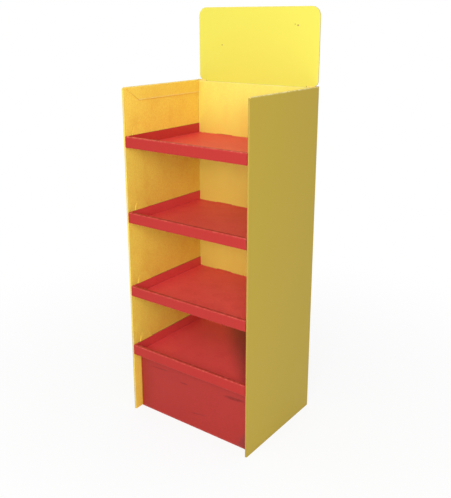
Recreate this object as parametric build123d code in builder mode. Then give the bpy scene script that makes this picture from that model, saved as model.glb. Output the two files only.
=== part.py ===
from build123d import *
import math
import os

os.makedirs("parts", exist_ok=True)

# Whole stand, in millimetres. The origin is on the floor, at the centre of the footprint. The front faces -Y.
width = 600.0
depth = 480.0
side_height = 1400.0

# Board of the side panels, back, liner and plinth
board = 4.0
crease_radius = 1.0
wall_gap = 1.0
seam = 0.3
fit_gap = 0.5

# Side panels
corner_radius = 15.0
nose_flat = 0.4
rear_flange = 60.0
inner_tail = 40.0
hem_depth = 55.0
hem_mitre = 70.0
hem_root = 30.0

# Lock flaps, cut from the inner wall above each tray
flap_start = 37.0
flap_width = 80.0
flap_hinge = 44.0
flap_rise = 38.0
flap_lift = 5.0
flap_slit = 1.2

# Trays, from the floor up
bottom_tray_top = 311.0
lower_bay = 270.0
middle_bay = 320.0
upper_bay = 309.0
tray_board = 3.0
tray_clearance = 1.0
lip_height = 45.0
lip_thickness = 16.0
tray_depth = 40.0
back_edge = 45.0
back_edge_inset = 12.0
corner_tab = 45.0
corner_tab_height = 20.0

# Tongues at the back of each tray, and their slots in the liner
tongue_width = 80.0
tongue_spacing = 300.0
slot_play = 1.0

# Steel tube in each lip
bar_diameter = 9.0
bar_wall = 1.0
bar_play = 0.3

# Header card
header_rise = 300.0
header_inset = 8.0
header_board = 3.0
header_top_radius = 38.0
header_bottom_radius = 20.0
neck_play = 3.0
neck_depth = 150.0
neck_radius = 12.0

# Liner and base
liner_drop = 5.0
plinth_setback = 41.0
plinth_top_edge = 40.0
rib_slit_play = 0.5

# Faces and levels that follow from the sizes above
front_face = -depth / 2
back_face = depth / 2
left_face = -width / 2
side_thickness = 2 * board + wall_gap
inner_half = width / 2 - side_thickness
fold_radius = board + crease_radius
tray_fold = tray_board + crease_radius
nose_radius = (side_thickness - nose_flat) / 2
panel_back = back_face - board
panel_front = panel_back - board
tail_face = panel_front - board
liner_front = tail_face - board
tray_back = liner_front - fit_gap
tray_half = inner_half - tray_clearance
wall_face = tray_half - tray_board
roll_back = front_face + lip_thickness
bar_line = front_face + lip_thickness / 2
hem_front = front_face + corner_radius
hem_back = liner_front - fit_gap
tray_tops = {
    "bottom": bottom_tray_top,
    "lower": bottom_tray_top + lower_bay,
    "upper": bottom_tray_top + lower_bay + middle_bay,
    "top": bottom_tray_top + lower_bay + middle_bay + upper_bay,
}
base_height = bottom_tray_top - tray_depth - tray_board
header_width = width - 2 * header_inset
neck_width = 2 * (inner_half - inner_tail - neck_play)


def bar_height(lip_top):
    """Centre of the tube under the top of the lip that hangs on it."""
    return lip_top - tray_board - bar_diameter / 2


# Left side panel: one sheet from the rear flange round the outer wall, the nose and the inner wall to the tail
inner_face = left_face + side_thickness
with BuildPart() as side_left:
    with BuildSketch(Plane.XY):
        with BuildLine():
            FilletPolyline(
                (left_face + rear_flange, back_face),
                (left_face, back_face),
                (left_face, front_face),
                (inner_face, front_face),
                (inner_face, tail_face),
                (inner_face + inner_tail, tail_face),
                radius=[fold_radius, nose_radius, nose_radius, crease_radius],
            )
            offset(amount=board, side=Side.LEFT)
        make_face()
    extrude(amount=side_height)

    # Rounded front corner at the top
    with BuildSketch(Plane.YZ.offset(left_face)):
        with Locations((front_face, side_height)):
            Rectangle(corner_radius, corner_radius, align=(Align.MIN, Align.MAX))
        with Locations((hem_front, side_height - corner_radius)):
            Circle(corner_radius, mode=Mode.SUBTRACT)
    extrude(amount=side_thickness, mode=Mode.SUBTRACT)

    # Both walls stop under the top hem
    with BuildSketch(Plane.YZ.offset(left_face)):
        with Locations((hem_front, side_height)):
            Rectangle(hem_back - hem_front, fold_radius, align=(Align.MIN, Align.MAX))
    extrude(amount=side_thickness, mode=Mode.SUBTRACT)

    # Top hem, folded over both walls and down the inner face
    with BuildSketch(Plane.XZ.offset(-hem_back)):
        with BuildLine():
            FilletPolyline(
                (left_face, side_height - hem_root),
                (left_face, side_height),
                (inner_face + seam + board, side_height),
                (inner_face + seam + board, side_height - hem_depth),
                radius=fold_radius,
            )
            offset(amount=board, side=Side.LEFT)
        make_face()
    extrude(amount=hem_back - hem_front)

    # Mitred front end of the hem
    with BuildSketch(Plane.YZ.offset(inner_face)):
        Polygon(
            (hem_front, side_height - fold_radius),
            (hem_front, side_height - hem_depth),
            (hem_front + hem_mitre, side_height - hem_depth),
            align=None,
        )
    extrude(amount=fold_radius + board, mode=Mode.SUBTRACT)

    # Lock flaps: a window in the inner wall, with its piece still hinged at the top and pushed in over the tray
    flap_middle = front_face + flap_start + flap_width / 2
    flap_tilt = math.asin(flap_lift / flap_rise)
    flap_length = (flap_rise - 2 * fit_gap) / math.cos(flap_tilt)
    for lip_top in tray_tops.values():
        with BuildSketch(Plane.YZ.offset(inner_face - board)):
            Polygon(
                (flap_middle - flap_width / 2, lip_top),
                (flap_middle + flap_width / 2, lip_top),
                (flap_middle + flap_hinge / 2, lip_top + flap_rise),
                (flap_middle - flap_hinge / 2, lip_top + flap_rise),
                align=None,
            )
        extrude(amount=board, mode=Mode.SUBTRACT)
        flap_plane = Plane(
            origin=(inner_face, flap_middle, lip_top + flap_rise),
            x_dir=(0, 1, 0),
            z_dir=(-math.cos(flap_tilt), 0, -math.sin(flap_tilt)),
        )
        with BuildSketch(flap_plane):
            Polygon(
                (-flap_hinge / 2 + flap_slit, -crease_radius),
                (flap_hinge / 2 - flap_slit, -crease_radius),
                (flap_width / 2 - flap_slit, flap_length),
                (-flap_width / 2 + flap_slit, flap_length),
                align=None,
            )
        extrude(amount=board)

    # Round holes in the inner wall for the ends of the tubes
    with BuildSketch(Plane.YZ.offset(inner_face - board)):
        with Locations(*[(bar_line, bar_height(lip_top) + bar_play) for lip_top in tray_tops.values()]):
            Circle(bar_diameter / 2 + bar_play)
    extrude(amount=board, mode=Mode.SUBTRACT)
side_left.part.label = "side_panel_left"

# Right side panel: the same sheet folded the other way
with BuildPart() as side_right:
    mirror(side_left.part, about=Plane.YZ)
side_right.part.label = "side_panel_right"

# Outer back, held between the flanges and the tails of the side panels
with BuildPart() as back_panel:
    with BuildSketch(Plane.XZ.offset(-panel_back)):
        Rectangle(width - 2 * fold_radius, side_height, align=(Align.CENTER, Align.MIN))
    extrude(amount=board)
back_panel.part.label = "back_panel"

# Liner in front of the tails, with a slot for each tongue
with BuildPart() as back_liner:
    with BuildSketch(Plane.XZ.offset(-tail_face)):
        Rectangle(2 * (inner_half - crease_radius), side_height - liner_drop, align=(Align.CENTER, Align.MIN))
        for lip_top in tray_tops.values():
            slot_bottom = lip_top - tray_depth - tray_board
            with Locations((-tongue_spacing / 2, slot_bottom), (tongue_spacing / 2, slot_bottom)):
                Rectangle(
                    tongue_width + 2 * slot_play,
                    tray_board + slot_play,
                    align=(Align.CENTER, Align.MIN),
                    mode=Mode.SUBTRACT,
                )
    extrude(amount=board)
back_liner.part.label = "back_liner"

# Header card: its shoulders rest on the tails of the side panels, and its neck stands in the pocket between
# them, the liner and the back
with BuildPart() as header_card:
    header_back = panel_front - (board - header_board) / 2
    with BuildSketch(Plane.XZ.offset(-header_back)):
        with BuildSketch(mode=Mode.PRIVATE) as header_face:
            Rectangle(header_width, header_rise, align=(Align.CENTER, Align.MIN))
            fillet(header_face.vertices().group_by(Axis.Y)[-1], header_top_radius)
            fillet(header_face.vertices().group_by(Axis.Y)[0], header_bottom_radius)
        with BuildSketch(mode=Mode.PRIVATE) as header_neck:
            Rectangle(neck_width, neck_depth, align=(Align.CENTER, Align.MAX))
            fillet(header_neck.vertices().group_by(Axis.Y)[0], neck_radius)
        with Locations((header_inset, side_height)):
            add(header_face.sketch)
        with Locations((0, side_height)):
            add(header_neck.sketch)
    extrude(amount=header_board)
header_card.part.label = "header_card"


# Tray folded from one sheet, drawn with the top of its lip at zero height
floor_top = -tray_depth
tab_front = front_face + tray_board + seam
end_cut = tray_board + fit_gap
edge_cut = end_cut + back_edge_inset
with BuildPart() as tray_form:
    # Floor, with the lip rolled up and over in front and the back edge turned down
    with BuildSketch(Plane.YZ.offset(-tray_half)):
        with BuildLine():
            FilletPolyline(
                (tray_back, floor_top - back_edge),
                (tray_back, floor_top),
                (roll_back, floor_top),
                (roll_back, 0),
                (front_face, 0),
                (front_face, -lip_height),
                (roll_back - tray_board - fit_gap, -lip_height),
                radius=[tray_fold, crease_radius, tray_fold, tray_fold, tray_fold],
            )
            offset(amount=tray_board, side=Side.LEFT)
        make_face()
    extrude(amount=2 * tray_half)

    # Ends cut back behind the lip's front, where the side walls stand
    with BuildSketch(Plane.YZ.offset(-tray_half), Plane.YZ.offset(tray_half - end_cut)):
        with Locations((front_face + tray_board, -tray_board - seam)):
            Rectangle(depth, lip_height + back_edge, align=(Align.MIN, Align.MAX))
    extrude(amount=end_cut, mode=Mode.SUBTRACT)

    # Back edge cut in at both ends
    with BuildSketch(Plane.YZ.offset(-tray_half), Plane.YZ.offset(tray_half - edge_cut)):
        with Locations((tray_back - tray_fold, floor_top - tray_board)):
            Rectangle(tray_fold + fit_gap, back_edge, align=(Align.MIN, Align.MAX))
    extrude(amount=edge_cut, mode=Mode.SUBTRACT)

    # Side walls folded up from the floor
    with BuildSketch(Plane.XZ.offset(-tray_back)):
        with BuildLine():
            FilletPolyline(
                (-wall_face, 0),
                (-wall_face, floor_top),
                (-wall_face + back_edge_inset, floor_top),
                radius=crease_radius,
            )
            offset(amount=tray_board, side=Side.RIGHT)
        make_face()
        mirror(about=Plane.YZ)
    extrude(amount=tray_back - roll_back - crease_radius)

    # Front ends of the side walls, under the top of the roll
    with BuildSketch(Plane.YZ.offset(-tray_half), Plane.YZ.offset(wall_face)):
        with Locations((tab_front + tray_fold, -tray_board - seam)):
            Rectangle(
                roll_back + crease_radius - tab_front - tray_fold,
                tray_depth - tray_board - seam,
                align=(Align.MIN, Align.MAX),
            )
    extrude(amount=tray_board)

    # Corner tabs turned in behind the lip's front
    with BuildSketch(Plane.XY.offset(floor_top)):
        with BuildLine():
            FilletPolyline(
                (-tray_half, roll_back),
                (-tray_half, tab_front),
                (-tray_half + corner_tab, tab_front),
                radius=tray_fold,
            )
            offset(amount=tray_board, side=Side.LEFT)
        make_face()
        mirror(about=Plane.YZ)
    extrude(amount=corner_tab_height)

    # Notch in each side wall for the tube
    with BuildSketch(Plane.YZ.offset(-tray_half), Plane.YZ.offset(wall_face)):
        with Locations((bar_line, bar_height(0))):
            Circle(bar_diameter / 2 + bar_play)
            Rectangle(bar_diameter + 2 * bar_play, bar_diameter / 2, align=(Align.CENTER, Align.MIN))
    extrude(amount=tray_board, mode=Mode.SUBTRACT)

    # Tongues that reach through the liner
    with BuildSketch(Plane.XY.offset(floor_top - tray_board)):
        with Locations((-tongue_spacing / 2, tray_back), (tongue_spacing / 2, tray_back)):
            Rectangle(tongue_width, 2 * (panel_front - fit_gap - tray_back))
    extrude(amount=tray_board)

# Four trays, one to each level
trays = []
for level, lip_top in tray_tops.items():
    with BuildPart() as tray:
        with Locations((0, 0, lip_top)):
            add(tray_form.part)
    tray.part.label = f"tray_{level}"
    trays.append(tray.part)

# Steel tubes, from outer wall to outer wall
bars = []
for level, lip_top in tray_tops.items():
    with BuildPart() as bar:
        with BuildSketch(Plane.YZ.offset(-(inner_half + board))):
            with Locations((bar_line, bar_height(lip_top))):
                Circle(bar_diameter / 2)
                Circle(bar_diameter / 2 - bar_wall, mode=Mode.SUBTRACT)
        extrude(amount=2 * (inner_half + board))
    bar.part.label = f"bar_{level}"
    bars.append(bar.part)

# Plinth: front, two wings along the side panels, and a top edge folded in under the lowest tray
plinth_front = front_face + plinth_setback
plinth_flap_half = inner_half - fold_radius - fit_gap
with BuildPart() as plinth:
    with BuildSketch(Plane.XY):
        with BuildLine():
            FilletPolyline(
                (-inner_half, tray_back),
                (-inner_half, plinth_front),
                (inner_half, plinth_front),
                (inner_half, tray_back),
                radius=fold_radius,
            )
            offset(amount=board, side=Side.LEFT)
        make_face()
    extrude(amount=base_height)

    # Room for the fold at the top of the front
    with BuildSketch(Plane.XY.offset(base_height)):
        with Locations((0, plinth_front)):
            Rectangle(2 * plinth_flap_half, fold_radius, align=(Align.CENTER, Align.MIN))
    extrude(amount=-fold_radius, mode=Mode.SUBTRACT)

    # Top edge folded in
    with BuildSketch(Plane.YZ.offset(-plinth_flap_half)):
        with BuildLine():
            FilletPolyline(
                (plinth_front, base_height - 2 * fold_radius),
                (plinth_front, base_height),
                (plinth_front + plinth_top_edge, base_height),
                radius=fold_radius,
            )
            offset(amount=board, side=Side.RIGHT)
        make_face()
    extrude(amount=2 * plinth_flap_half)
plinth.part.label = "base_plinth"

# Ribs that cross inside the plinth, each slotted to half its height
rib_line = (plinth_front + tray_back) / 2
with BuildPart() as rib_across:
    with BuildSketch(Plane.XZ.offset(-rib_line - board / 2)):
        Rectangle(2 * (inner_half - board), base_height, align=(Align.CENTER, Align.MIN))
        Rectangle(board + rib_slit_play, base_height / 2, align=(Align.CENTER, Align.MIN), mode=Mode.SUBTRACT)
    extrude(amount=board)
rib_across.part.label = "base_rib_across"

rib_front = plinth_front + board
rib_back = tray_back - tray_fold - fit_gap
with BuildPart() as rib_deep:
    with BuildSketch(Plane.YZ.offset(-board / 2)):
        with Locations((rib_front, 0)):
            Rectangle(rib_back - rib_front, base_height, align=(Align.MIN, Align.MIN))
        with Locations((rib_line, base_height)):
            Rectangle(
                board + rib_slit_play,
                base_height / 2,
                align=(Align.CENTER, Align.MAX),
                mode=Mode.SUBTRACT,
            )
        with Locations((rib_front, base_height)):
            Rectangle(
                plinth_top_edge - board + fit_gap,
                fold_radius,
                align=(Align.MIN, Align.MAX),
                mode=Mode.SUBTRACT,
            )
    extrude(amount=board)
rib_deep.part.label = "base_rib_deep"

finished = [side_left.part, side_right.part, back_panel.part, back_liner.part, header_card.part]
finished += [*trays, *bars, plinth.part, rib_across.part, rib_deep.part]
for piece in finished:
    export_step(piece, f"parts/{piece.label}.step")
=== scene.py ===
"""Looks of the folded card display stand: printed sheets, bare board, tubes, studio and camera."""

import logging
import math
from dataclasses import dataclass, field
from enum import Enum
from typing import Callable, Sequence, Union

import bpy
import numpy as np
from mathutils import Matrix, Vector


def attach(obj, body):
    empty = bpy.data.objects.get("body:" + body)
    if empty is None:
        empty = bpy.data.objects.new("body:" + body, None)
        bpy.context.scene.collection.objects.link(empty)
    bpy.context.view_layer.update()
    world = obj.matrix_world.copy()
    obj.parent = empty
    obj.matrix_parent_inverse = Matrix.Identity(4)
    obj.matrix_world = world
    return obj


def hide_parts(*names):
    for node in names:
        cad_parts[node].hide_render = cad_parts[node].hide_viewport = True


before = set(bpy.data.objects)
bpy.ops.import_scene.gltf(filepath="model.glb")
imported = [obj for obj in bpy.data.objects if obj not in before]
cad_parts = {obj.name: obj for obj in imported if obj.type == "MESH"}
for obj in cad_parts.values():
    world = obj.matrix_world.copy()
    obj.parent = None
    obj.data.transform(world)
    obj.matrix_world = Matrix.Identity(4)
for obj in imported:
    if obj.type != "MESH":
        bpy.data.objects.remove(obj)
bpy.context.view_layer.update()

log = logging.getLogger("stand")

Colour = tuple[float, float, float]
Number = Union[float, "Wire"]
Surface = Callable[[np.ndarray, np.ndarray], np.ndarray]

WHITE = (1.0, 1.0, 1.0, 1.0)
# Part of the unit normal between which a face starts and ends to count as turned towards an axis
FACING = (0.4, 0.6)
# The same for the cut ends of an upright sheet
END_FACING = (0.5, 0.7)
# Height of the paper's relief in metres: washboard, grain and creases together
RELIEF = 0.00022
# Sockets of Blender's Mix node when it mixes colours
MIX_FACTOR, MIX_FIRST, MIX_SECOND, MIX_RESULT = 0, 6, 7, 2


class Side(Enum):
    """The two side panels, by the sign of the X axis on which they stand."""

    LEFT = -1
    RIGHT = 1


class Level(Enum):
    """The four trays and the height of the top of each lip, in metres."""

    BOTTOM = 0.311
    LOWER = 0.581
    UPPER = 0.901
    TOP = 1.210


@dataclass(frozen=True)
class Sizes:
    """Main sizes of the stand, in metres, as its source has them."""

    width: float = 0.600
    depth: float = 0.480
    side_height: float = 1.400
    header_rise: float = 0.300
    header_inset: float = 0.008
    board: float = 0.004
    header_board: float = 0.003
    side_thickness: float = 0.009
    hem_depth: float = 0.055
    lip_height: float = 0.045
    lip_thickness: float = 0.016
    tray_depth: float = 0.040
    plinth_setback: float = 0.041
    liner_drop: float = 0.005

    @property
    def front(self) -> float:
        """Y of the front face."""
        return -self.depth / 2

    @property
    def inner_half(self) -> float:
        """X of the inner faces of the side panels."""
        return self.width / 2 - self.side_thickness

    @property
    def liner_front(self) -> float:
        """Y of the front of the liner."""
        return self.depth / 2 - 4 * self.board

    @property
    def roll_back(self) -> float:
        """Y of the rear of the rolled lips."""
        return self.front + self.lip_thickness


SIZES = Sizes()


class Wire:
    """A shader value that takes part in Python sums, each of which adds its Math node."""

    def __init__(self, graph: "Graph", socket: bpy.types.NodeSocket) -> None:
        """Keeps the graph and the socket."""
        self.graph = graph
        self.socket = socket

    def _math(self, operation: str, *values: Number) -> "Wire":
        """Adds one Math node.

        Args:
            operation: Blender's name of the operation.
            values: The node's inputs in order.

        Returns:
            The node's result.
        """
        return self.graph.node("ShaderNodeMath", {"operation": operation}, dict(enumerate(values)))

    def __add__(self, other: Number) -> "Wire":
        """Sum."""
        return self._math("ADD", self, other)

    __radd__ = __add__

    def __sub__(self, other: Number) -> "Wire":
        """Difference."""
        return self._math("SUBTRACT", self, other)

    def __rsub__(self, other: Number) -> "Wire":
        """Reflected difference."""
        return self._math("SUBTRACT", other, self)

    def __mul__(self, other: Number) -> "Wire":
        """Product."""
        return self._math("MULTIPLY", self, other)

    __rmul__ = __mul__

    def __truediv__(self, other: Number) -> "Wire":
        """Quotient."""
        return self._math("DIVIDE", self, other)

    def __pow__(self, other: Number) -> "Wire":
        """Power."""
        return self._math("POWER", self, other)

    def __abs__(self) -> "Wire":
        """Size without its sign."""
        return self._math("ABSOLUTE", self)

    def sine(self) -> "Wire":
        """Sine of an angle in radians."""
        return self._math("SINE", self)

    def most(self, other: Number) -> "Wire":
        """The larger of two values."""
        return self._math("MAXIMUM", self, other)

    def rise(self, low: float, high: float) -> "Wire":
        """Smooth step.

        Args:
            low: Value at which the result is 0.
            high: Value at which the result is 1; below low, the step falls.

        Returns:
            A value from 0 to 1.
        """
        return self.graph.node(
            "ShaderNodeMapRange",
            {"interpolation_type": "SMOOTHSTEP", "clamp": True},
            {"Value": self, "From Min": low, "From Max": high},
        )

    def near(self, place: float, reach: float) -> "Wire":
        """Soft line.

        Args:
            place: Where the line lies.
            reach: Distance from the line at which it fades out.

        Returns:
            1 on the line, 0 from the reach on.
        """
        return abs(self - place).rise(reach, 0.0)

    def faces(self) -> "Wire":
        """1 where this part of the normal points along its axis, 0 where it doesn't."""
        return self.rise(*FACING)

    def within(self, low: float, high: float, soft: float = 0.0004) -> "Wire":
        """Soft band.

        Args:
            low: Lower end of the band.
            high: Upper end of the band.
            soft: Width over which each end fades.

        Returns:
            1 in the band and 0 outside it.
        """
        return self.rise(low - soft, low + soft) * self.rise(high + soft, high - soft)


def larger(first: Number, second: Number) -> Number:
    """The larger of two values, either of which may be a plain number.

    Args:
        first: One value.
        second: The other value.

    Returns:
        The larger value.
    """
    if isinstance(first, Wire):
        return first.most(second)
    if isinstance(second, Wire):
        return second.most(first)
    return max(first, second)


class Graph:
    """One node tree under construction, of a material or of the world."""

    def __init__(self, owner: bpy.types.Material | bpy.types.World) -> None:
        """Empties the node tree of a new material or world."""
        owner.use_nodes = True
        self.owner = owner
        self.tree = owner.node_tree
        self.tree.nodes.clear()

    @classmethod
    def of_material(cls, name: str) -> "Graph":
        """The empty node tree of a new material."""
        return cls(bpy.data.materials.new(name))

    def node(
        self,
        kind: str,
        settings: dict[str, object] | None = None,
        inputs: dict[str | int, object] | None = None,
        output: int | str = 0,
    ) -> Wire:
        """Adds any node.

        Args:
            kind: Blender's type name of the node.
            settings: Properties, set before the sockets.
            inputs: A value or a Wire for each socket, by name or index.
            output: The output that is wanted.

        Returns:
            That output.
        """
        made = self.tree.nodes.new(kind)
        for key, value in (settings or {}).items():
            setattr(made, key, value)
        for key, value in (inputs or {}).items():
            socket = made.inputs[key]
            if isinstance(value, Wire):
                self.tree.links.new(value.socket, socket)
            else:
                socket.default_value = value
        return Wire(self, made.outputs[output])

    def place(self) -> tuple[Wire, Wire, Wire]:
        """X, Y and Z of the shaded point in the object's own frame."""
        where = self.node("ShaderNodeTexCoord", output="Object")
        return self.parts(where)

    def facing(self) -> tuple[Wire, Wire, Wire]:
        """X, Y and Z of the surface normal in the object's own frame."""
        where = self.node("ShaderNodeTexCoord", output="Normal")
        return self.parts(where)

    def parts(self, vector: Wire) -> tuple[Wire, Wire, Wire]:
        """The three numbers of a vector."""
        split = self.node("ShaderNodeSeparateXYZ", None, {0: vector})
        outputs = split.socket.node.outputs
        return tuple(Wire(self, outputs[i]) for i in range(3))

    def stretched(self, factors: Sequence[float], shift: float = 0.0) -> Wire:
        """Object coordinates, each times its own factor.

        Args:
            factors: One factor for each axis, in cycles per metre.
            shift: Number added to all three, so that patterns differ between pieces.

        Returns:
            The vector.
        """
        where = self.node("ShaderNodeTexCoord", output="Object")
        return self.node(
            "ShaderNodeMapping",
            {"vector_type": "POINT"},
            {"Vector": where, "Scale": tuple(factors), "Location": (shift, shift, shift)},
        )

    def noise(self, vector: Wire, detail: float = 2.0, roughness: float = 0.5) -> Wire:
        """Fractal noise.

        Args:
            vector: Coordinates, one unit to a grain.
            detail: Number of octaves.
            roughness: How strongly the fine octaves count.

        Returns:
            A value from 0 to 1, mostly near one half.
        """
        inputs = {"Vector": vector, "Scale": 1.0, "Detail": detail, "Roughness": roughness}
        return self.node("ShaderNodeTexNoise", {"noise_dimensions": "3D"}, inputs, "Fac")

    def tint(self, factor: Number, start: object, end: object, blend: str = "MIX") -> Wire:
        """Mixes two colours.

        Args:
            factor: Share of the second colour.
            start: First colour, or a Wire.
            end: Second colour, or a Wire.
            blend: Blender's name of the blend.

        Returns:
            The mixed colour.
        """
        colours = [c if isinstance(c, Wire) else (*c, 1.0) for c in (start, end)]
        inputs = {MIX_FACTOR: factor, MIX_FIRST: colours[0], MIX_SECOND: colours[1]}
        settings = {"data_type": "RGBA", "blend_type": blend, "clamp_factor": True}
        return self.node("ShaderNodeMix", settings, inputs, MIX_RESULT)

    def bump(self, height: Wire, distance: float, strength: float = 1.0) -> Wire:
        """Bumps the surface.

        Args:
            height: Height from 0 to 1.
            distance: Metres that a height of 1 stands for.
            strength: Share of the effect.

        Returns:
            The normal.
        """
        inputs = {"Height": height, "Distance": distance, "Strength": strength}
        return self.node("ShaderNodeBump", None, inputs, "Normal")

    def close(self, **sockets: object) -> bpy.types.Material:
        """Ends the graph with a Principled shader.

        Args:
            sockets: Values or Wires by the shader's socket names, with _ for a space.

        Returns:
            The finished material.
        """
        inputs = {key.replace("_", " "): value for key, value in sockets.items()}
        shader = self.node("ShaderNodeBsdfPrincipled", None, inputs)
        self.show(shader)
        return self.owner

    def show(self, shader: Wire) -> None:
        """Links a shader to the output of the material or world."""
        kind = "World" if isinstance(self.owner, bpy.types.World) else "Material"
        output = self.tree.nodes.new(f"ShaderNodeOutput{kind}")
        self.tree.links.new(shader.socket, output.inputs["Surface"])


@dataclass
class Places:
    """Where a sheet differs from plain print, as masks from 0 to 1, and how its flutes run."""

    flutes: Wire
    cut: Number = 0.0
    bare: Number = 0.0
    second: Number = 0.0
    folds: Number = 0.0
    # Paler marks in the worn colour: real wear at folds and edges, and painted highlights on the side panels' hem
    # top and along the trays' lips.
    wear_and_highlight: Number = 0.0
    warm: Number = 0.0
    shade: Number = 0.0
    specks: Number = 0.0
    red: Number = 0.0


Masks = Callable[[Graph], Places]


def cut_ends(up: Wire) -> Wire:
    """1 on the cut ends of an upright sheet, which face up or down, from the normal's Z."""
    return abs(up).rise(*END_FACING)


@dataclass(frozen=True)
class Board:
    """Bare corrugated board: brown paper with fibres, and its fluted cut edges."""

    paper: Colour = (0.49, 0.325, 0.175)
    fibre: Colour = (0.36, 0.225, 0.115)
    core: Colour = (0.40, 0.255, 0.13)
    hollow: Colour = (0.12, 0.070, 0.035)
    pitch: float = 0.0065

    def phase(self, flutes: Wire) -> Wire:
        """Angle of the core's wave, one turn to a flute, from the distance across the flutes."""
        return flutes * (2 * math.pi / self.pitch)

    def paper_colour(self, graph: Graph, shift: float) -> Wire:
        """Brown paper: long pale and dark fibres over slow blotches.

        Args:
            graph: The material.
            shift: Offset of the pattern.

        Returns:
            The colour.
        """
        fibres = graph.noise(graph.stretched((900, 900, 160), shift), 3.0, 0.7).rise(0.38, 0.72)
        blotches = graph.noise(graph.stretched((14, 14, 9), shift + 3), 2.0).rise(0.3, 0.75)
        fresh = graph.tint(fibres * 0.55, self.paper, self.fibre)
        return graph.tint(blotches * 0.22, fresh, self.fibre)

    def edge_colour(self, graph: Graph, flutes: Wire) -> Wire:
        """Cut edge: dark flute mouths between the waves of the core.

        Args:
            graph: The material.
            flutes: Distance across the flutes.

        Returns:
            The colour.
        """
        mouths = self.phase(flutes).sine().rise(0.05, 0.85)
        return graph.tint(mouths * 0.75, self.core, self.hollow)

    def material(self, name: str, locate: Masks, shift: float = 0.0) -> bpy.types.Material:
        """Makes a material of bare board.

        Args:
            name: Name of the material.
            locate: Gives the masks of the sheet.
            shift: Offset of the patterns.

        Returns:
            The material.
        """
        graph = Graph.of_material(name)
        places = locate(graph)
        washboard = self.phase(places.flutes).sine() * 0.5 + 0.5
        paper = self.paper_colour(graph, shift)
        ribbed = graph.tint(washboard * 0.10, paper, self.fibre)
        worn = graph.tint(places.folds * 0.45, ribbed, self.hollow)
        colour = graph.tint(places.cut, worn, self.edge_colour(graph, places.flutes))
        fibres = graph.noise(graph.stretched((700, 700, 220), shift), 2.0)
        normal = graph.bump(washboard * 0.6 + fibres * 0.4, RELIEF)
        rough = fibres * 0.12 + 0.78
        return graph.close(Base_Color=colour, Roughness=rough, Normal=normal, IOR=1.45)


@dataclass(frozen=True)
class Print:
    """Card printed in one colour over corrugated board, with a satin varnish."""

    ink: Colour
    deep: Colour
    # Pale colour of real wear, also used for painted highlights.
    worn: Colour
    second: Colour = (0.5, 0.5, 0.5)
    shadow: Colour = (0.12, 0.040, 0.038)
    speck: Colour = (0.30, 0.13, 0.05)
    spot: Colour = (0.55, 0.030, 0.025)
    gloss: float = 0.44
    mottle: float = 0.30
    patches: float = 0.35
    ripple: float = 0.10
    board: Board = field(default_factory=Board)

    def material(self, name: str, locate: Masks, shift: float = 0.0) -> bpy.types.Material:
        """Makes a material of this print.

        Args:
            name: Name of the material.
            locate: Gives the masks of the sheet.
            shift: Offset of the patterns, so that sheets differ.

        Returns:
            The material.
        """
        graph = Graph.of_material(name)
        places = locate(graph)
        ridges = self.board.phase(places.flutes).sine() * 0.5 + 0.5
        grain = graph.noise(graph.stretched((170, 170, 170), shift), 4.0, 0.75)
        cloud = graph.noise(graph.stretched((16, 16, 11), shift + 7), 3.0, 0.6)
        wander = graph.noise(graph.stretched((4.5, 4.5, 3.5), shift + 13), 2.0)
        calm = 1.0 - places.second * 0.75
        ink = graph.tint(grain.rise(0.36, 0.66) * self.mottle * calm, self.ink, self.deep)
        ink = graph.tint(cloud.rise(0.42, 0.80) * self.patches * calm, ink, self.deep)
        ink = graph.tint(places.second, ink, self.second)
        ink = graph.tint(ridges * self.ripple, ink, self.deep)
        ink = graph.tint(places.warm, ink, self.deep)
        dots = graph.noise(graph.stretched((300, 300, 300), shift + 29), 2.0, 0.8).rise(0.25, 0.62)
        ink = graph.tint(places.shade * (dots * 0.5 + 0.5), ink, self.shadow)
        # Paler by the worn colour: real wear, and painted highlights where the masks mark lit tops and edges.
        scuff = graph.noise(graph.stretched((75, 75, 75), shift + 21), 3.0, 0.7).rise(0.40, 0.66)
        ink = graph.tint(places.wear_and_highlight * (scuff * 0.75 + 0.25), ink, self.worn)
        # Darker along folds: the plinth's real creases, and painted shade in the creases round each tray floor.
        ink = graph.tint(places.folds * 0.55, ink, tuple(0.5 * c for c in self.deep))
        ink = graph.tint(places.specks, ink, self.speck)
        paper = self.board.paper_colour(graph, shift)
        colour = graph.tint(places.bare, ink, paper)
        colour = graph.tint(places.cut, colour, self.board.edge_colour(graph, places.flutes))
        colour = graph.tint(places.red, colour, self.spot)
        matt = larger(places.bare, places.cut)
        rough = matt * (0.82 - self.gloss) + grain * 0.10 + cloud * 0.10 + (self.gloss - 0.10)
        relief = ridges * 0.30 + grain * 0.25 + wander * 9.0 - places.folds * 1.6
        normal = graph.bump(relief, RELIEF)
        return graph.close(
            Base_Color=colour,
            Roughness=rough,
            Normal=normal,
            IOR=1.46,
            Specular_IOR_Level=0.26,
        )


@dataclass(frozen=True)
class Zinc:
    """Drawn steel tube with a thin zinc coat."""

    bright: Colour = (0.66, 0.67, 0.69)
    dull: Colour = (0.42, 0.43, 0.45)

    def material(self, name: str) -> bpy.types.Material:
        """Makes the tube's material, with draw lines along X and cloudy zinc.

        Args:
            name: Name of the material.

        Returns:
            The material.
        """
        graph = Graph.of_material(name)
        lines = graph.noise(graph.stretched((12, 2600, 2600)), 2.0)
        cloud = graph.noise(graph.stretched((60, 60, 60), 5.0), 2.0).rise(0.35, 0.7)
        colour = graph.tint(cloud * 0.6 + lines * 0.3, self.bright, self.dull)
        rough = cloud * 0.18 + lines * 0.15 + 0.22
        normal = graph.bump(lines, 0.00005)
        return graph.close(Base_Color=colour, Roughness=rough, Normal=normal, Metallic=1.0)


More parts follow.
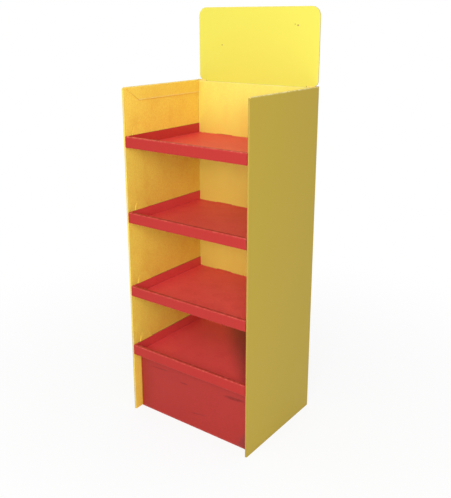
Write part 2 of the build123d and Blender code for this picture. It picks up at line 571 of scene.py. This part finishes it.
YELLOW = Print(
    # The side ink is brighter and more orange than the header's: painted light, standing for the warm light that the
    # red trays bounce into the bays.
    ink=(0.95, 0.735, 0.115),
    deep=(0.83, 0.50, 0.064),
    worn=(0.96, 0.86, 0.45),
    # The olive second colour is this yellow in shade: painted shade for the outer faces, the rear flange and the
    # nose.
    second=(0.478, 0.352, 0.037),
    mottle=0.55,
    patches=0.48,
    ripple=0.12,
)
BACK_YELLOW = Print(
    ink=(0.82, 0.83, 0.155),
    deep=(0.83, 0.57, 0.095),
    worn=(0.97, 0.90, 0.55),
    mottle=0.32,
    patches=0.35,
    ripple=0.12,
)
HEADER_YELLOW = Print(
    ink=(0.74, 0.685, 0.090),
    deep=(0.71, 0.62, 0.078),
    worn=(0.95, 0.88, 0.45),
    mottle=0.05,
    patches=0.05,
    ripple=0.03,
)
RED = Print(
    ink=(0.95, 0.110, 0.112),
    deep=(0.79, 0.068, 0.074),
    worn=(0.74, 0.15, 0.11),
    second=(0.385, 0.019, 0.014),
    mottle=0.40,
    patches=0.45,
)
PLINTH_RED = Print(
    ink=(0.385, 0.027, 0.021),
    deep=(0.30, 0.020, 0.016),
    worn=(0.62, 0.16, 0.12),
    mottle=0.25,
    patches=0.25,
)
BROWN = Board()


def paint(node: str, material: bpy.types.Material) -> None:
    """Gives a node of the frame its material.

    Args:
        node: Name of the node.
        material: The material for all its slots.
    """
    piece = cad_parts[node]
    piece.data.materials.clear()
    piece.data.materials.append(material)
    log.info("%s: %s", node, material.name)


def slab(
    name: str,
    along: np.ndarray,
    low: np.ndarray,
    high: np.ndarray,
    front: Surface,
    back: Surface,
    rows: int,
) -> bpy.types.Object:
    """Closed upright sheet over an outline.

    A point of the face is x = along[i], z = low[i] + v (high[i] - low[i]), with v from 0 to 1 in even rows.
    The front and back give y from x and z, and a rim joins the two round the outline.

    Args:
        name: Name of the piece.
        along: X of each column.
        low: Z of the lower end of each column.
        high: Z of the upper end of each column.
        front: Y of the face towards -Y.
        back: Y of the face towards +Y.
        rows: Number of rows of faces.

    Returns:
        The mesh object.
    """
    steps = np.linspace(0.0, 1.0, rows + 1)
    x = np.repeat(along[:, None], rows + 1, axis=1)
    z = low[:, None] + steps[None, :] * (high - low)[:, None]
    near = np.stack([x, front(x, z), z], axis=-1).reshape(-1, 3)
    far = np.stack([x, back(x, z), z], axis=-1).reshape(-1, 3)
    count = x.size
    index = np.arange(count).reshape(x.shape)
    a, b, c, d = index[:-1, :-1], index[1:, :-1], index[1:, 1:], index[:-1, 1:]
    face = np.stack([a, b, c, d], axis=-1).reshape(-1, 4)
    rear = np.stack([d, c, b, a], axis=-1).reshape(-1, 4) + count
    ring = np.concatenate([index[:, 0], index[-1, 1:], index[-2::-1, -1], index[0, -2:0:-1]])
    after = np.roll(ring, -1)
    rim = np.stack([after, ring, ring + count, after + count], axis=-1)
    mesh = bpy.data.meshes.new(name)
    mesh.from_pydata(np.concatenate([near, far]), [], np.concatenate([face, rear, rim]).tolist())
    mesh.update()
    piece = bpy.data.objects.new(name, mesh)
    bpy.context.scene.collection.objects.link(piece)
    return piece


@dataclass
class SidePanels:
    """The two double side walls, each one folded sheet."""

    sizes: Sizes = SIZES

    def locate(self, side: Side) -> Masks:
        """Masks of one side panel.

        Args:
            side: Which panel.

        Returns:
            A function that gives the masks in a material.
        """
        s = self.sizes
        top, rear = s.side_height, s.depth / 2
        # Share of the olive painted shade on the nose: all of it on the right panel, less on the left.
        nose_shade_share = 1.0 if side is Side.RIGHT else 0.45

        def masks(graph: Graph) -> Places:
            """Cut edges below, at the hem and behind; worn folds at the nose, hem and rear corner; a painted
            highlight on the hem's top face; olive painted shade on the outer faces, rear flange and nose.
            """
            x, y, z = graph.place()
            nx, ny, nz = graph.facing()
            out = (nx * side.value).faces()
            inward = (nx * -side.value).faces()
            low_cut = (nz * -1.0).faces()
            rear_top = nz.faces() * y.rise(s.liner_front - 0.001, s.liner_front)
            hem_cut = low_cut * z.rise(top - 0.08, top - 0.07) * 0.7
            cut = (low_cut - hem_cut).most(rear_top)
            flange = ny.faces() * y.rise(rear - 0.002, rear - 0.001)
            nose_olive_shade = y.rise(s.front + 0.007, s.front + 0.004) * nose_shade_share
            nose = y.rise(s.front + 0.006, s.front + 0.001)
            hem_fold = z.rise(top - 0.006, top - 0.001)
            rear_fold = out * y.near(rear, 0.006)
            past_mitre = y.rise(s.front + 0.06, s.front + 0.09)
            hem_line = inward * z.near(top - s.hem_depth + 0.002, 0.0035) * past_mitre
            # Painted highlight: the hem's top face is paled as if lit from above.
            hem_top_highlight = nz.rise(0.3, 0.7) * z.rise(top - 0.004, top - 0.001)
            wear_and_highlight = (nose * inward * 0.25).most(hem_fold * 0.45).most(rear_fold * 0.35)
            wear_and_highlight = wear_and_highlight.most(hem_line * 0.6).most(hem_top_highlight * 0.95)
            low_nose = nose * z.rise(0.400, 0.392) * (x * side.value).rise(0.2950, 0.2966)
            return Places(
                flutes=x + y,
                cut=cut,
                # Painted shade: the outer faces, the rear flange and the nose take the olive second colour.
                second=out.most(flange).most(nose_olive_shade),
                wear_and_highlight=wear_and_highlight,
                warm=z.rise(0.05, 0.0) * inward * 0.25,
                shade=low_nose * 0.85 if side is Side.LEFT else nose * 0.30,
                red=rear_top * x.rise(0.235, 0.245),
            )

        return masks

    def dress(self) -> None:
        """Paints both panels."""
        for side in Side:
            hand = side.name.lower()
            yellow = YELLOW.material(f"yellow_print_{hand}", self.locate(side), shift=side.value * 2.3)
            paint(f"side_panel_{hand}", yellow)


@dataclass
class BackWall:
    """The brown outer back and the yellow liner before it."""

    sizes: Sizes = SIZES

    def liner_masks(self, graph: Graph) -> Places:
        """Printed front, bare rear, pale cut edge on top."""
        x, _, z = graph.place()
        _, ny, nz = graph.facing()
        top = z.near(self.sizes.side_height - self.sizes.liner_drop, 0.004) * 0.6
        # Painted shade: the liner turns a deeper orange in its back corners, down in the bays, and in its right
        # part, where the right panel shades it.
        corner = abs(x).rise(self.sizes.inner_half - 0.03, self.sizes.inner_half) * 0.25
        low = z.rise(1.34, 1.16) * 0.48
        side = x.rise(-0.20, 0.0) * z.rise(1.37, 1.24) * 0.62
        warm = corner.most(low).most(side)
        return Places(flutes=x, cut=cut_ends(nz) * 0.6, bare=ny.faces(), wear_and_highlight=top, warm=warm)

    def outer_masks(self, graph: Graph) -> Places:
        """Bare board with vertical flutes and cut edges above and below."""
        x, _, _ = graph.place()
        _, _, nz = graph.facing()
        return Places(flutes=x, cut=cut_ends(nz))

    def dress(self) -> None:
        """Paints the two sheets."""
        paint("back_liner", BACK_YELLOW.material("yellow_print_back", self.liner_masks, shift=11.0))
        paint("back_panel", BROWN.material("bare_board_back", self.outer_masks, shift=4.0))


@dataclass(frozen=True)
class Speck:
    """A small dark speck on the header, wider than high."""

    x: float
    z: float
    radius: float

    def mask(self, x: Wire, z: Wire) -> Wire:
        """1 on the speck, falling to 0 at its radius, by a distance that counts x for less than z."""
        across, up = x - self.x, z - self.z
        return ((across * across * 0.45 + up * up) ** 0.5).rise(self.radius, self.radius * 0.4)


@dataclass
class HeaderCard:
    """The raised card above the back: two papers with a waved core between them, cut to a rounded outline."""

    sizes: Sizes = SIZES
    paper: float = 0.00035
    top_radius: float = 0.038
    bottom_radius: float = 0.020
    inner_tail: float = 0.040
    neck_play: float = 0.003
    neck_depth: float = 0.150
    neck_radius: float = 0.012
    pitch: float = BROWN.pitch
    bow: float = 0.0022
    rows: int = 12
    specks: tuple[Speck, ...] = (
        Speck(-0.163, 1.548, 0.0032),
        Speck(0.203, 1.629, 0.0042),
        Speck(0.190, 1.633, 0.0026),
    )

    @property
    def middle(self) -> float:
        """X of the card's centre line."""
        return self.sizes.header_inset

    @property
    def half(self) -> float:
        """Half of the card's width."""
        return self.sizes.width / 2 - self.sizes.header_inset

    @property
    def neck_half(self) -> float:
        """Half of the neck's width: it fits between the tails of the side panels."""
        return self.sizes.inner_half - self.inner_tail - self.neck_play

    @property
    def plane(self) -> float:
        """Y of the middle of the card's thickness."""
        s = self.sizes
        back = s.depth / 2 - 2 * s.board - (s.board - s.header_board) / 2
        return back - s.header_board / 2

    def bend(self, x: np.ndarray, z: np.ndarray) -> np.ndarray:
        """How far the free part bows: the square of the height above the pocket times a slow wave in x."""
        up = np.clip((z - self.sizes.side_height) / self.sizes.header_rise, 0.0, 1.0)
        return -self.bow * up**2 * (0.55 + 0.45 * np.cos(4.0 * (x - self.middle + 0.10)))

    def upper(self, x: np.ndarray) -> np.ndarray:
        """Top outline: level, with a quarter circle at each end."""
        past = np.clip(np.abs(x - self.middle) - (self.half - self.top_radius), 0.0, self.top_radius)
        level = self.sizes.side_height + self.sizes.header_rise - self.top_radius
        return level + np.sqrt(self.top_radius**2 - past**2)

    def shoulder(self, x: np.ndarray) -> np.ndarray:
        """Bottom outline of the raised part: level, with a quarter circle at each end."""
        past = np.clip(np.abs(x - self.middle) - (self.half - self.bottom_radius), 0.0, self.bottom_radius)
        return self.sizes.side_height + self.bottom_radius - np.sqrt(self.bottom_radius**2 - past**2)

    def neck(self, x: np.ndarray) -> np.ndarray:
        """Bottom outline of the neck: level, with a quarter circle at each end."""
        inner = self.neck_half - self.neck_radius
        past = np.clip(np.abs(x) - inner, 0.0, self.neck_radius)
        level = self.sizes.side_height - self.neck_depth + self.neck_radius
        return level - np.sqrt(self.neck_radius**2 - past**2)

    def columns(self, spacing: float) -> tuple[np.ndarray, np.ndarray, np.ndarray]:
        """Columns over the whole outline: close at the round corners and doubled at the neck's edges.

        Args:
            spacing: Greatest distance between columns.

        Returns:
            X, lower Z and upper Z of the columns.
        """
        turn = np.sin(np.linspace(0.0, math.pi / 2, 9))
        corner = self.half - self.top_radius + self.top_radius * turn
        close = self.neck_half - self.neck_radius + self.neck_radius * turn
        level = np.arange(-self.neck_half + self.neck_radius, self.neck_half - self.neck_radius, spacing)
        inner = np.unique(np.concatenate([-close, level, close]))
        left = np.unique(np.append(self.middle - corner, -self.neck_half))
        right = np.unique(np.append(self.middle + corner, self.neck_half))
        left, right = left[left <= -self.neck_half], right[right >= self.neck_half]
        x = np.concatenate([left, inner, right])
        low = np.concatenate([self.shoulder(left), self.neck(inner), self.shoulder(right)])
        return x, low, self.upper(x)

    def build(self) -> list[bpy.types.Object]:
        """Makes the two papers and the waved core, whose y is the card's middle plus a sine wave in x."""
        t, y0, p = self.sizes.header_board, self.plane, self.paper
        wave = (t - 2 * p) / 2 - p / 2

        def level(shift: float) -> Surface:
            """A bowed plane at a distance from the middle."""
            return lambda x, z: y0 + shift + self.bend(x, z)

        def rolling(shift: float) -> Surface:
            """The waved core's surface at a distance from its own middle."""
            return lambda x, z: y0 + shift + self.bend(x, z) + wave * np.sin(2 * math.pi * x / self.pitch)

        broad, fine = self.columns(0.02), self.columns(self.pitch / 8)
        face = slab("header_front_paper", *broad, level(-t / 2), level(-t / 2 + p), self.rows)
        rear = slab("header_rear_paper", *broad, level(t / 2 - p), level(t / 2), self.rows)
        core = slab("header_waved_core", *fine, rolling(-p / 2), rolling(p / 2), self.rows)
        return [face, core, rear]

    def front_masks(self, graph: Graph) -> Places:
        """Printed front with a worn, pale band round the outline, a thin line of painted shade along it and a few
        small specks; the rim itself is bare.
        """
        x, _, z = graph.place()
        _, ny, _ = graph.facing()
        top = self.sizes.side_height + self.sizes.header_rise
        from_middle = abs(x - self.middle)
        wear_and_highlight = z.near(top, 0.004).most(from_middle.near(self.half, 0.004)) * 0.3
        # Painted shade: a thin dark line along the top and sides of the outline.
        rim = z.near(top, 0.0016).most(from_middle.near(self.half, 0.0016)) * 0.30
        specks: Number = 0.0
        for speck in self.specks:
            specks = speck.mask(x, z).most(specks)
        bare = (ny * -1.0).rise(0.7, 0.4)
        return Places(flutes=x, bare=bare, wear_and_highlight=wear_and_highlight, shade=rim, specks=specks * 0.75)

    def plain_masks(self, graph: Graph) -> Places:
        """Bare paper."""
        x, _, _ = graph.place()
        return Places(flutes=x)

    def dress(self, papers: Sequence[bpy.types.Object]) -> None:
        """Paints the three layers and lets them stand for the card.

        Args:
            papers: Front paper, core and rear paper.
        """
        yellow = HEADER_YELLOW.material("yellow_print_header", self.front_masks, shift=17.0)
        brown = BROWN.material("bare_board_header", self.plain_masks, shift=9.0)
        front, plain = (yellow, "header_yellow_card"), (brown, "plain_card")
        for piece, (material, slot) in zip(papers, (front, plain, plain)):
            piece.data.materials.append(material)
            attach(piece, "root")
            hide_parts("header_card")
            log.info("%s: %s faces", piece.name, len(piece.data.polygons))


@dataclass(frozen=True)
class Tone:
    """How strongly one tray shows each change of its red, as shares from 0 to 1.

    Warm is deeper ink on the floor, gloom the painted shade behind the lip, wall the lip's darker red on the side
    walls, and the last share the painted highlight on top of the lip.
    """

    warm: float
    gloom: float
    wall: float = 0.35
    lip_highlight: float = 0.40


TONES = {
    Level.TOP: Tone(warm=0.75, gloom=0.15, wall=0.75, lip_highlight=0.80),
    Level.UPPER: Tone(warm=0.15, gloom=0.35),
    Level.LOWER: Tone(warm=0.0, gloom=0.50),
    Level.BOTTOM: Tone(warm=0.35, gloom=0.85),
}


@dataclass
class Trays:
    """Four folded red trays, each with a rolled lip in front, and the tubes in their lips.

    The shifts move the print's patterns, so that no two trays have the same ones.
    """

    sizes: Sizes = SIZES
    first_shift: float = 1.7
    shift_step: float = 5.1

    def locate(self, level: Level) -> Masks:
        """Masks of one tray.

        Args:
            level: Which tray.

        Returns:
            A function that gives the masks in a material.
        """
        s, top, tone = self.sizes, level.value, TONES[level]
        floor = top - s.tray_depth

        def masks(graph: Graph) -> Places:
            """Bare underside, cut wall tops, a painted highlight along the lip, creases round the floor darkened
            with painted shade.
            """
            x, y, z = graph.place()
            nx, _, nz = graph.facing()
            up, down = nz.faces(), (nz * -1.0).faces()
            behind = y.rise(s.roll_back + 0.002, s.roll_back + 0.006)
            past_roll = y.rise(s.roll_back - 0.002, s.roll_back + 0.002)
            under = down * z.within(floor - 0.006, floor - 0.001) * past_roll
            inside = up * behind
            cut = up * z.within(top - 0.002, top + 0.001) * behind
            lip = y.rise(s.roll_back + 0.001, s.roll_back - 0.003)
            lip_front = y.near(s.front, 0.0045)
            # Painted highlight along the top of the lip's front.
            lip_edge_highlight = lip_front * z.rise(top - 0.0055, top - 0.0005) * 0.75
            foot_line = lip_front * z.near(top - s.lip_height, 0.004) * 0.4
            # Painted highlight on the lip's top face, strongest on the top tray.
            lip_highlight = up * lip * z.rise(top - 0.004, top - 0.001) * tone.lip_highlight
            # The creases round the floor are dents that are also darkened: painted shade where the floor meets the
            # side walls and the lip.
            side_crease_and_shade = abs(x).near(s.inner_half - 0.006, 0.004) * inside
            crease = side_crease_and_shade.most(y.near(s.roll_back + 0.003, 0.004) * inside)
            wall = abs(nx).faces() * behind
            shade = inside * y.rise(s.roll_back + 0.045, s.roll_back + 0.006) * tone.gloom
            if level is Level.BOTTOM:
                right_rear = (x + y * 0.9).rise(0.01, 0.17)
                shade = shade.most(inside * right_rear * 0.80)
            return Places(
                flutes=x,
                cut=cut,
                bare=under,
                second=lip.most(wall * tone.wall),
                wear_and_highlight=lip_edge_highlight.most(foot_line).most(lip_highlight),
                folds=crease * 0.6,
                warm=inside * tone.warm,
                shade=shade,
            )

        return masks

    def dress(self) -> None:
        """Paints the trays and the tubes."""
        zinc = Zinc().material("zinc_tube")
        for number, level in enumerate(Level):
            name = level.name.lower()
            shift = self.shift_step * number + self.first_shift
            paint(f"tray_{name}", RED.material(f"red_print_{name}", self.locate(level), shift))
            paint(f"bar_{name}", zinc)


@dataclass(frozen=True)
class Crease:
    """A short dark crease on the front of the plinth, as a thin ellipse in x and z."""

    x: float
    z: float
    length: float
    width: float
    slope: float = 0.0

    def mask(self, x: Wire, z: Wire) -> Wire:
        """1 along the crease, falling to 0 at the edge of its ellipse."""
        along = (x - self.x) / (self.length / 2)
        off = (z - self.z - (x - self.x) * self.slope) / (self.width / 2)
        return (along * along + off * off).rise(1.0, 0.25)


@dataclass
class Base:
    """The recessed red plinth and the two plain ribs that cross inside it."""

    sizes: Sizes = SIZES
    creases: tuple[Crease, ...] = (
        Crease(-0.048, 0.188, 0.050, 0.008, 0.02),
        Crease(0.028, 0.071, 0.100, 0.005, 0.14),
        Crease(0.210, 0.208, 0.120, 0.018, 0.08),
        Crease(-0.180, 0.215, 0.130, 0.006, 0.05),
    )

    def plinth_masks(self, graph: Graph) -> Places:
        """Printed outside, bare inside, a few light creases and a darker right foot on the front."""
        s = self.sizes
        x, y, z = graph.place()
        nx, ny, nz = graph.facing()
        face = s.front + s.plinth_setback
        front = (ny * -1.0).faces() * y.rise(face + 0.002, face + 0.001)
        outer = (nx * x).rise(0.0, 0.02)
        bare = 1.0 - front.most(outer)
        cut = cut_ends(nz) * z.rise(0.2, 0.0)
        broken = graph.noise(graph.stretched((160, 160, 160), 3.0), 3.0, 0.7).rise(0.30, 0.50)
        folds: Number = 0.0
        for crease in self.creases:
            folds = crease.mask(x, z).most(folds)
        texture = x.rise(-0.20, -0.28).most((x - z * 0.9).rise(0.17, 0.24)) * broken
        shade = front * (texture * 0.22).most((x - z * 0.5).rise(0.215, 0.235) * 0.45)
        wear_and_highlight = front * z.rise(0.010, 0.0) * 0.5
        return Places(
            flutes=x + y,
            cut=cut,
            bare=bare,
            folds=front * folds * broken,
            shade=shade,
            wear_and_highlight=wear_and_highlight,
        )

    def rib_masks(self, graph: Graph) -> Places:
        """Bare board with vertical flutes."""
        x, y, _ = graph.place()
        _, _, nz = graph.facing()
        return Places(flutes=x + y, cut=cut_ends(nz))

    def dress(self) -> None:
        """Paints the base."""
        paint("base_plinth", PLINTH_RED.material("red_print_plinth", self.plinth_masks, shift=31.0))
        ribs = BROWN.material("bare_board_ribs", self.rib_masks, shift=23.0)
        paint("base_rib_across", ribs)
        paint("base_rib_deep", ribs)


@dataclass
class Studio:
    """Pale floor, soft lights and the camera.

    Places are in metres, the camera's turn and dip in degrees, its sensor in millimetres, and its focus and rise in
    pixels of the picture. Near_white is the share of plain white that the camera sees beside the stand, and fade
    gives the distances between which that share grows to 1.
    """

    place: tuple[float, float, float] = (1.5877, -2.1284, 1.6490)
    turn: float = 36.340
    dip: float = 16.241
    focus: float = 676.77
    raised: float = 32.0
    picture: tuple[int, int] = (451, 498)
    sensor: float = 36.0
    ambient: float = 0.68
    floor_half: float = 30.0
    floor_grey: float = 0.86
    near_white: float = 0.86
    fade: tuple[float, float] = (0.5, 2.2)

    def camera(self) -> None:
        """Sets the camera: its lens is the focal length in pixels over the long side of the picture."""
        data = bpy.data.cameras.new("camera")
        data.sensor_width = self.sensor
        data.lens = self.focus / max(self.picture) * data.sensor_width
        data.shift_y = -self.raised / max(self.picture)
        eye = bpy.data.objects.new("camera", data)
        eye.location = self.place
        eye.rotation_euler = (math.radians(90.0 - self.dip), 0.0, math.radians(self.turn))
        bpy.context.scene.collection.objects.link(eye)
        bpy.context.scene.camera = eye

    def lamp(
        self,
        name: str,
        place: Sequence[float],
        aim: Sequence[float],
        size: float,
        power: float,
    ) -> None:
        """Adds a square soft light.

        Args:
            name: Name of the light.
            place: Where it stands.
            aim: The point that it faces.
            size: Length of its side.
            power: Power in watts.
        """
        data = bpy.data.lights.new(name, "AREA")
        data.shape = "SQUARE"
        data.size = size
        data.energy = power
        item = bpy.data.objects.new(name, data)
        item.location = place
        item.rotation_euler = (Vector(aim) - Vector(place)).to_track_quat("-Z", "Y").to_euler()
        bpy.context.scene.collection.objects.link(item)

    def floor(self) -> None:
        """A wide pale floor that keeps the stand's shadow and shows white to the camera further out."""
        half, grey = self.floor_half, self.floor_grey
        mesh = bpy.data.meshes.new("floor")
        corners = [(-half, -half, 0.0), (half, -half, 0.0), (half, half, 0.0), (-half, half, 0.0)]
        mesh.from_pydata(corners, [], [(0, 1, 2, 3)])
        item = bpy.data.objects.new("floor", mesh)
        bpy.context.scene.collection.objects.link(item)
        graph = Graph.of_material("pale_floor")
        camera = graph.node("ShaderNodeLightPath", output="Is Camera Ray")
        pale = graph.node("ShaderNodeBsdfDiffuse", None, {"Color": (grey, grey, grey, 1.0)})
        white = graph.node("ShaderNodeEmission", None, {"Color": WHITE, "Strength": 1.0})
        x, y, _ = graph.place()
        far = ((x * x + y * y) ** 0.5).rise(*self.fade)
        share = camera * (far * (1.0 - self.near_white) + self.near_white)
        graph.show(graph.node("ShaderNodeMixShader", None, {0: share, 1: pale, 2: white}))
        mesh.materials.append(graph.owner)

    def world(self) -> None:
        """Even soft light all round, and plain white for camera rays and rays through glass."""
        sky = bpy.data.worlds.new("studio")
        bpy.context.scene.world = sky
        graph = Graph(sky)
        camera = graph.node("ShaderNodeLightPath", output="Is Camera Ray")
        through = graph.node("ShaderNodeLightPath", output="Is Transmission Ray")
        soft = graph.node("ShaderNodeBackground", None, {"Color": WHITE, "Strength": self.ambient})
        white = graph.node("ShaderNodeBackground", None, {"Color": WHITE, "Strength": 1.0})
        graph.show(graph.node("ShaderNodeMixShader", None, {0: camera.most(through), 1: soft, 2: white}))

    def build(self) -> None:
        """Sets the whole studio."""
        bpy.context.scene.view_settings.view_transform = "Standard"
        self.camera()
        self.floor()
        self.world()
        self.lamp("key", place=(1.85, -2.95, 2.25), aim=(0.0, 0.0, 0.80), size=1.8, power=69.0)
        self.lamp("fill", place=(-0.15, -3.3, 1.35), aim=(0.0, 0.0, 0.75), size=2.0, power=30.0)


def main() -> None:
    """Builds and dresses each sub-assembly in turn."""
    logging.basicConfig(level=logging.INFO, format="%(name)s: %(message)s")
    Studio().build()
    SidePanels().dress()
    BackWall().dress()
    header = HeaderCard()
    header.dress(header.build())
    Trays().dress()
    Base().dress()


if __name__ == "__main__":
    main()
